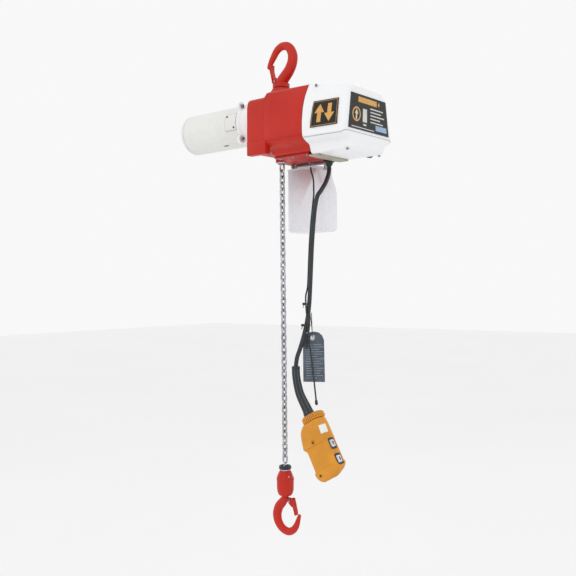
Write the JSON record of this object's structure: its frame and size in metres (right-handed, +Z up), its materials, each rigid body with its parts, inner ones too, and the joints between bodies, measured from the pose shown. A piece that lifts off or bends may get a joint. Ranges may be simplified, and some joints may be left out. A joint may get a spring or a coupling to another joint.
{
  "type": "electric chain hoist",
  "caption": "Electric chain hoist with a hook-mounted gear housing, motor, controller, load chain with a lower hook, chain container and hanging push-button pendant.",
  "frame": {"origin": "the saddle of the top hook, on the load line", "axes": "+Z up, +X from the load line to the controller, -X to the motor, -Y the front with the side label"},
  "size_m": [0.4637, 0.1622, 0.9826],
  "materials": {
    "red_paint": "semi-gloss",
    "white_paint": "semi-gloss",
    "grey_white": "satin",
    "beige_plastic": "matte",
    "nickel": "bright plated",
    "steel": "machined",
    "copper": "bare",
    "aluminium": "cast",
    "black_rubber": "matte",
    "black_plastic": "matte",
    "navy_rubber": "matte",
    "clear_plastic": "translucent",
    "orange_plastic": "semi-gloss",
    "button_grey": "matte",
    "label_black": "printed film",
    "tag_slate": "matte",
    "board_green": "lacquered"
  },
  "bodies": {
    "hoist_body": {"main_housing": "red_paint", "bottom_plate": "red_paint", "chain_guide": "nickel", "gear_plate": "aluminium", "controller_cover": "white_paint", "controller_base": "grey_white", "seal_strip": "beige_plastic", "control_board": "board_green", "power_relay": "black_plastic", "terminal_block": "grey_white", "power_gland": "black_plastic", "side_label": "label_black", "end_label": "label_black", "motor_flange": "white_paint", "motor_cover": "grey_white", "motor_end_cap": "grey_white", "stator": "steel", "drive_bearing": "steel", "end_bearing": "steel", "brush_holder": "black_plastic", "brush_cover": "grey_white", "slack_chain": "nickel", "chain_container": "clear_plastic", "container_bracket": "steel", "cord_gland": "black_plastic", "pendant_cord_top": "black_rubber", "wire_anchor": "steel", "support_wire_top": "black_rubber", "load_chain": "nickel"},
    "top_hook_body": {"top_hook": "red_paint", "hook_nut": "steel", "top_latch_pin": "steel"},
    "top_latch_body": {"top_latch": "red_paint"},
    "armature_body": {"armature": "steel", "commutator": "copper", "cooling_fan": "black_plastic"},
    "intermediate_body": {"intermediate_gear": "steel"},
    "sheave_body": {"load_sheave": "steel", "load_gear": "steel"},
    "lower_block": {"hook_block_front": "red_paint", "hook_block_back": "red_paint", "chain_bumper": "navy_rubber", "bumper_washer": "nickel", "chain_pin": "steel", "chain_end_links": "nickel", "thrust_bearing": "steel"},
    "bottom_hook_body": {"bottom_hook": "red_paint", "bottom_latch_pin": "steel"},
    "bottom_latch_body": {"bottom_latch": "red_paint"},
    "pendant": {"pendant_front": "orange_plastic", "pendant_back": "orange_plastic", "pendant_collar": "orange_plastic", "cord_boot": "black_rubber", "switch_block": "black_plastic", "pendant_cord": "black_rubber", "support_wire": "black_rubber", "warning_tag": "tag_slate", "tag_string": "black_plastic"},
    "raise_button_body": {"raise_button": "button_grey"},
    "lower_button_body": {"lower_button": "button_grey"}
  },
  "joints": [
    {"name": "top_hook_swivel", "type": "hinge", "parent": "hoist_body", "child": "top_hook_body", "pos_m": [0, 0, -0.07], "axis": [0, 0, 1], "continuous": true},
    {"name": "top_latch_hinge", "type": "hinge", "parent": "top_hook_body", "child": "top_latch_body", "pos_m": [-0.012, 0, -0.06], "axis": [0, 1, 0], "range_deg": [0, 28], "stiffness_Nm_per_rad": 0.02, "springref_deg": -28.65},
    {"name": "armature_spin", "type": "hinge", "parent": "hoist_body", "child": "armature_body", "pos_m": [0, 0, -0.1375], "axis": [-1, 0, 0], "range_deg": [0, 53000]},
    {"name": "intermediate_spin", "type": "hinge", "parent": "hoist_body", "child": "intermediate_body", "pos_m": [0.034, -0.03399, -0.15641], "axis": [-1, 0, 0], "range_deg": [-8840, 0]},
    {"name": "sheave_spin", "type": "hinge", "parent": "hoist_body", "child": "sheave_body", "pos_m": [0, 0.0193, -0.17], "axis": [-1, 0, 0], "range_deg": [0, 1768]},
    {"name": "hook_lift", "type": "slide", "parent": "hoist_body", "child": "lower_block", "axis": [0, 0, 1], "range_m": [0, 0.595], "deforming": ["load_chain"]},
    {"name": "bottom_hook_swivel", "type": "hinge", "parent": "lower_block", "child": "bottom_hook_body", "pos_m": [0, 0, -0.88], "axis": [0, 0, 1], "continuous": true},
    {"name": "bottom_latch_hinge", "type": "hinge", "parent": "bottom_hook_body", "child": "bottom_latch_body", "pos_m": [0.015, 0, -0.897], "axis": [0, 1, 0], "range_deg": [0, 28], "stiffness_Nm_per_rad": 0.02, "springref_deg": -28.65},
    {"name": "pendant_swing", "type": "hinge", "parent": "hoist_body", "child": "pendant", "pos_m": [0.1, -0.02, -0.3], "axis": [1, 0, 0], "range_deg": [-15, 15]},
    {"name": "raise_button_press", "type": "slide", "parent": "pendant", "child": "raise_button_body", "axis": [-0.8704, 0, -0.4924], "range_m": [0, 0.0035], "stiffness_N_per_m": 400, "springref_m": -0.003},
    {"name": "lower_button_press", "type": "slide", "parent": "pendant", "child": "lower_button_body", "axis": [-0.8704, 0, -0.4924], "range_m": [0, 0.0035], "stiffness_N_per_m": 400, "springref_m": -0.003}
  ],
  "couplings": [
    {"joint": "intermediate_spin", "follows": "armature_spin", "ratio": -0.16667},
    {"joint": "sheave_spin", "follows": "armature_spin", "ratio": 0.033333},
    {"joint": "hook_lift", "follows": "armature_spin", "m_per_rad": 0.00064193}
  ]
}
